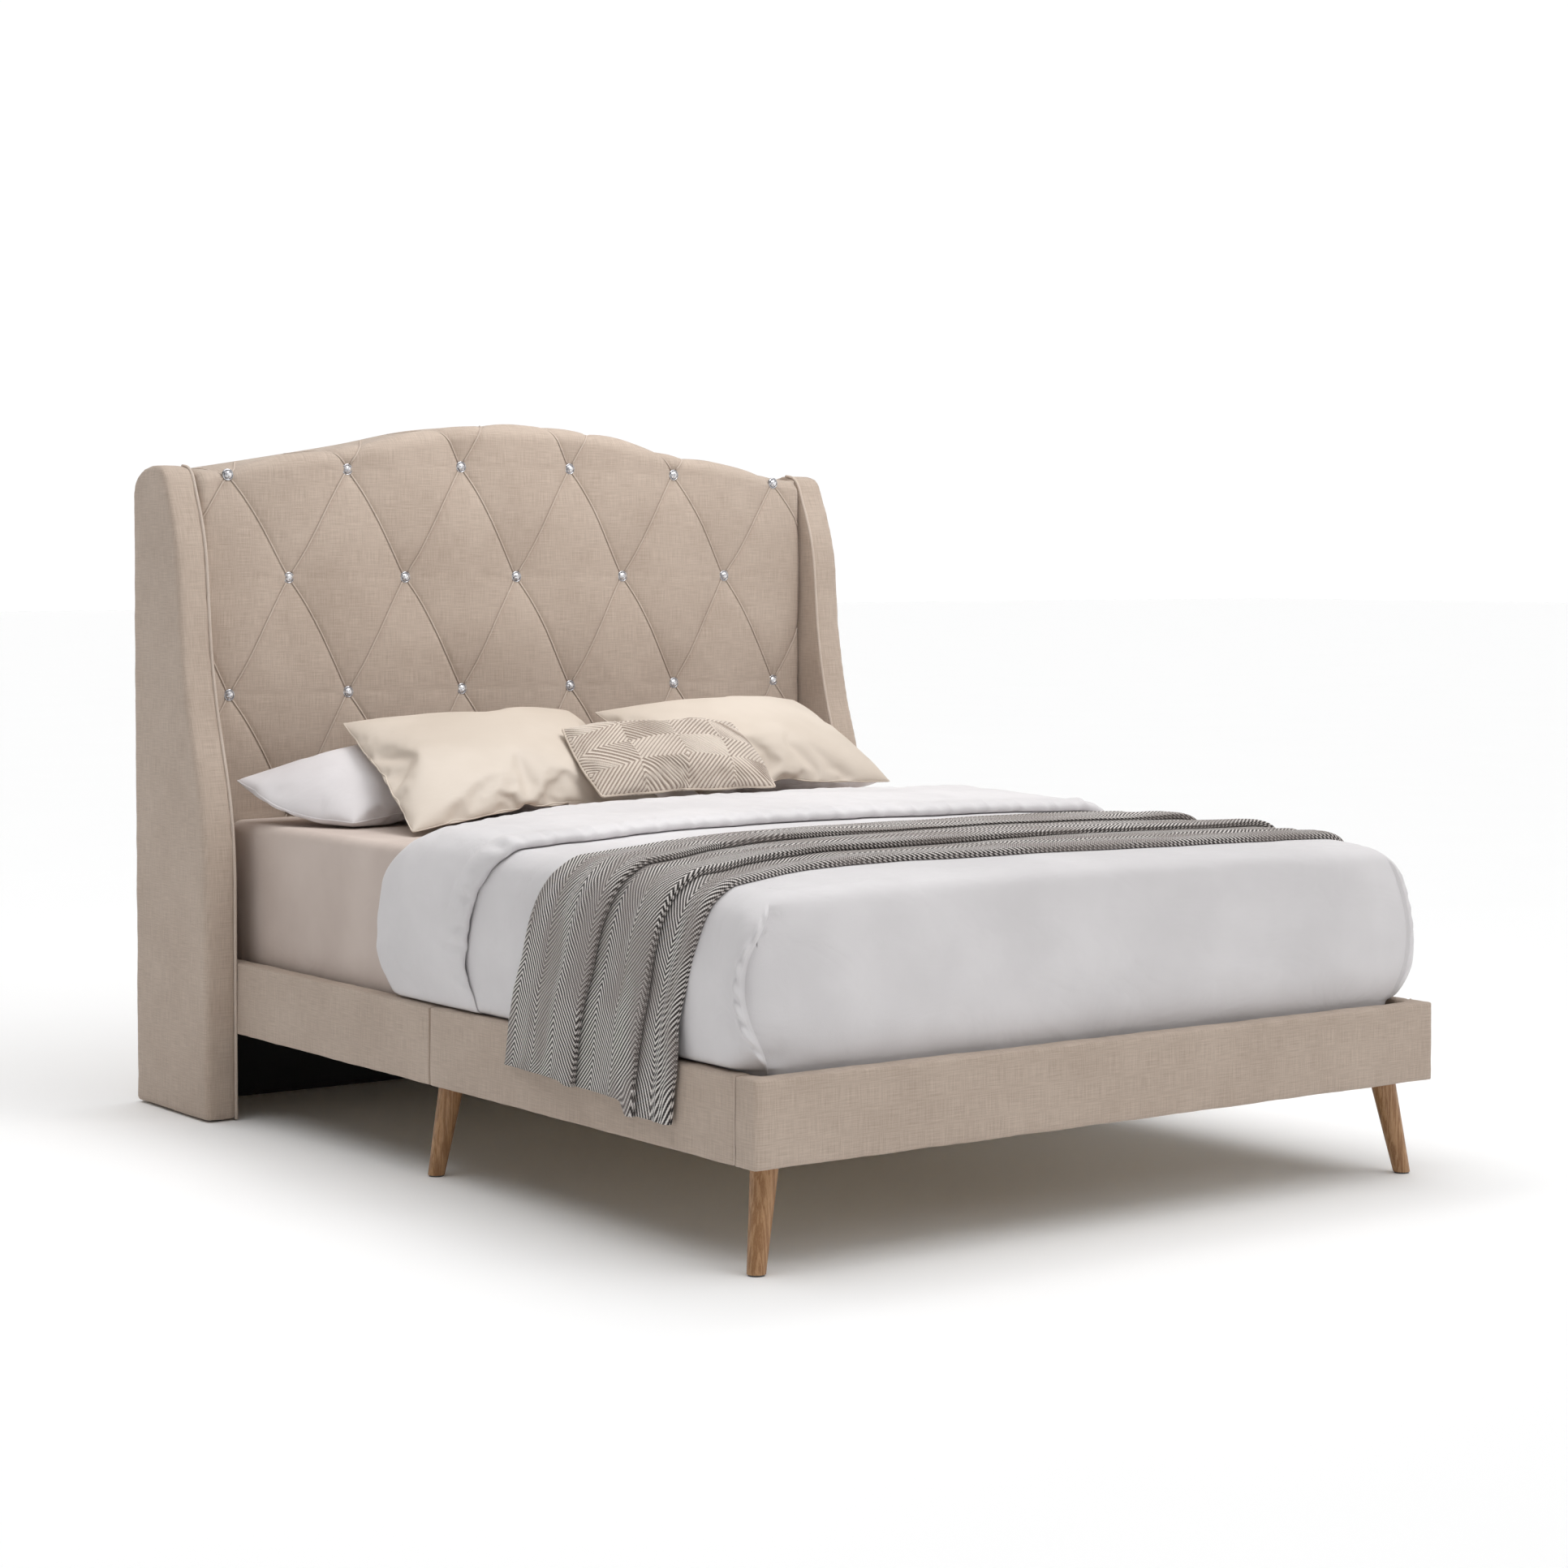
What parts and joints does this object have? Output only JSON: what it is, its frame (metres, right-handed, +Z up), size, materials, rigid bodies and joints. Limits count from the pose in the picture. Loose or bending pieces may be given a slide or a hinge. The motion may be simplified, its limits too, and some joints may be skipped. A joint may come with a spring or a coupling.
{
  "type": "upholstered headboard bed",
  "caption": "Wing-back bed with a diamond-tufted camel-back headboard, crystal buttons, low padded rails, splayed wooden legs and made-up bedding.",
  "frame": {"origin": "on the floor under the centre of the bed's bounding box", "axes": "+X to the right seen from the foot, +Y from the foot to the headboard, +Z up"},
  "size_m": [1.766, 2.267, 1.508],
  "materials": {
    "upholstery": "matte woven linen",
    "welt_cord": "matte woven linen over cord",
    "leg_wood": "satin oiled light wood",
    "plywood": "raw plywood",
    "black_cloth": "matte non-woven",
    "frame_timber": "planed softwood",
    "slat_wood": "planed softwood",
    "cap_plastic": "matte moulded",
    "glide_plastic": "matte moulded",
    "zinc_steel": "zinc plated",
    "bracket_steel": "black powder coat",
    "button_chrome": "polished",
    "button_crystal": "faceted polished",
    "mattress_ticking": "quilted knit",
    "sheet_cotton": "smooth cotton sateen",
    "duvet_cotton": "smooth cotton sateen",
    "throw_knit": "herringbone knit",
    "white_cotton": "smooth cotton",
    "cream_cotton": "smooth cotton sateen",
    "cushion_knit": "chenille cord"
  },
  "bodies": {
    "bedstead": {"beam_sockets": "bracket_steel", "button_rims": "button_chrome", "button_stones": "button_crystal", "centre_beam": "frame_timber", "centre_leg_back": "frame_timber", "centre_leg_front": "frame_timber", "foot_corner_posts": "frame_timber", "foot_rail_board": "frame_timber", "foot_rail_cover": "upholstery", "head_brackets": "bracket_steel", "headboard_back_cloth": "upholstery", "headboard_bottom_rail": "frame_timber", "headboard_kick_board": "plywood", "headboard_kick_cloth": "black_cloth", "headboard_middle_rail": "frame_timber", "headboard_pad": "upholstery", "headboard_panel": "plywood", "headboard_stiles": "frame_timber", "headboard_top_rail": "frame_timber", "leg_blocks": "frame_timber", "leg_foot_left": "leg_wood", "leg_foot_right": "leg_wood", "leg_glides": "glide_plastic", "leg_hanger_bolts": "zinc_steel", "leg_mid_left": "leg_wood", "leg_mid_right": "leg_wood", "leg_plates": "bracket_steel", "rail_bolts": "zinc_steel", "side_ledgers": "frame_timber", "side_rail_boards_left": "frame_timber", "side_rail_boards_right": "frame_timber", "side_rail_cover_left_foot": "upholstery", "side_rail_cover_left_head": "upholstery", "side_rail_cover_right_foot": "upholstery", "side_rail_cover_right_head": "upholstery", "slat_end_caps": "cap_plastic", "slats": "slat_wood", "wing_boards_left": "plywood", "wing_boards_right": "plywood", "wing_bolts": "zinc_steel", "wing_cover_left": "upholstery", "wing_cover_right": "upholstery", "wing_glides": "glide_plastic", "wing_spacers_left": "frame_timber", "wing_spacers_right": "frame_timber", "wing_welt_left": "welt_cord", "wing_welt_right": "welt_cord"},
    "mattress": {"mattress": "mattress_ticking", "fitted_sheet": "sheet_cotton"},
    "duvet": {"duvet": "duvet_cotton"},
    "throw": {"throw": "throw_knit"},
    "white_pillow_left": {"white_pillow_left": "white_cotton"},
    "white_pillow_right": {"white_pillow_right": "white_cotton"},
    "cream_pillow_left": {"cream_pillow_left": "cream_cotton"},
    "cream_pillow_right": {"cream_pillow_right": "cream_cotton"},
    "knit_cushion": {"knit_cushion": "cushion_knit"},
    "levelling_foot_front": {"levelling_foot_front": "zinc_steel"},
    "levelling_foot_back": {"levelling_foot_back": "zinc_steel"}
  },
  "joints": [
    {"name": "mattress_lift", "type": "slide", "parent": "bedstead", "child": "mattress", "axis": [0, 0, 1], "range_m": [0, 0.4]},
    {"name": "duvet_lift", "type": "slide", "parent": "mattress", "child": "duvet", "axis": [0, 0, 1], "range_m": [0, 0.38]},
    {"name": "throw_lift", "type": "slide", "parent": "duvet", "child": "throw", "axis": [0, 0, 1], "range_m": [0, 0.45]},
    {"name": "white_pillow_left_lift", "type": "slide", "parent": "mattress", "child": "white_pillow_left", "axis": [0, 0, 1], "range_m": [0, 0.3]},
    {"name": "white_pillow_right_lift", "type": "slide", "parent": "white_pillow_left", "child": "white_pillow_right", "axis": [0, 0, 1], "range_m": [0, 0.3]},
    {"name": "cream_pillow_left_lift", "type": "slide", "parent": "white_pillow_right", "child": "cream_pillow_left", "axis": [0, 0, 1], "range_m": [0, 0.3]},
    {"name": "cream_pillow_right_lift", "type": "slide", "parent": "cream_pillow_left", "child": "cream_pillow_right", "axis": [0, 0, 1], "range_m": [0, 0.3]},
    {"name": "knit_cushion_lift", "type": "slide", "parent": "cream_pillow_right", "child": "knit_cushion", "axis": [0, 0, 1], "range_m": [0, 0.3]},
    {"name": "levelling_foot_front_screw", "type": "slide", "parent": "bedstead", "child": "levelling_foot_front", "axis": [0, 0, 1], "range_m": [0, 0.01]},
    {"name": "levelling_foot_back_screw", "type": "slide", "parent": "bedstead", "child": "levelling_foot_back", "axis": [0, 0, 1], "range_m": [0, 0.01]}
  ]
}
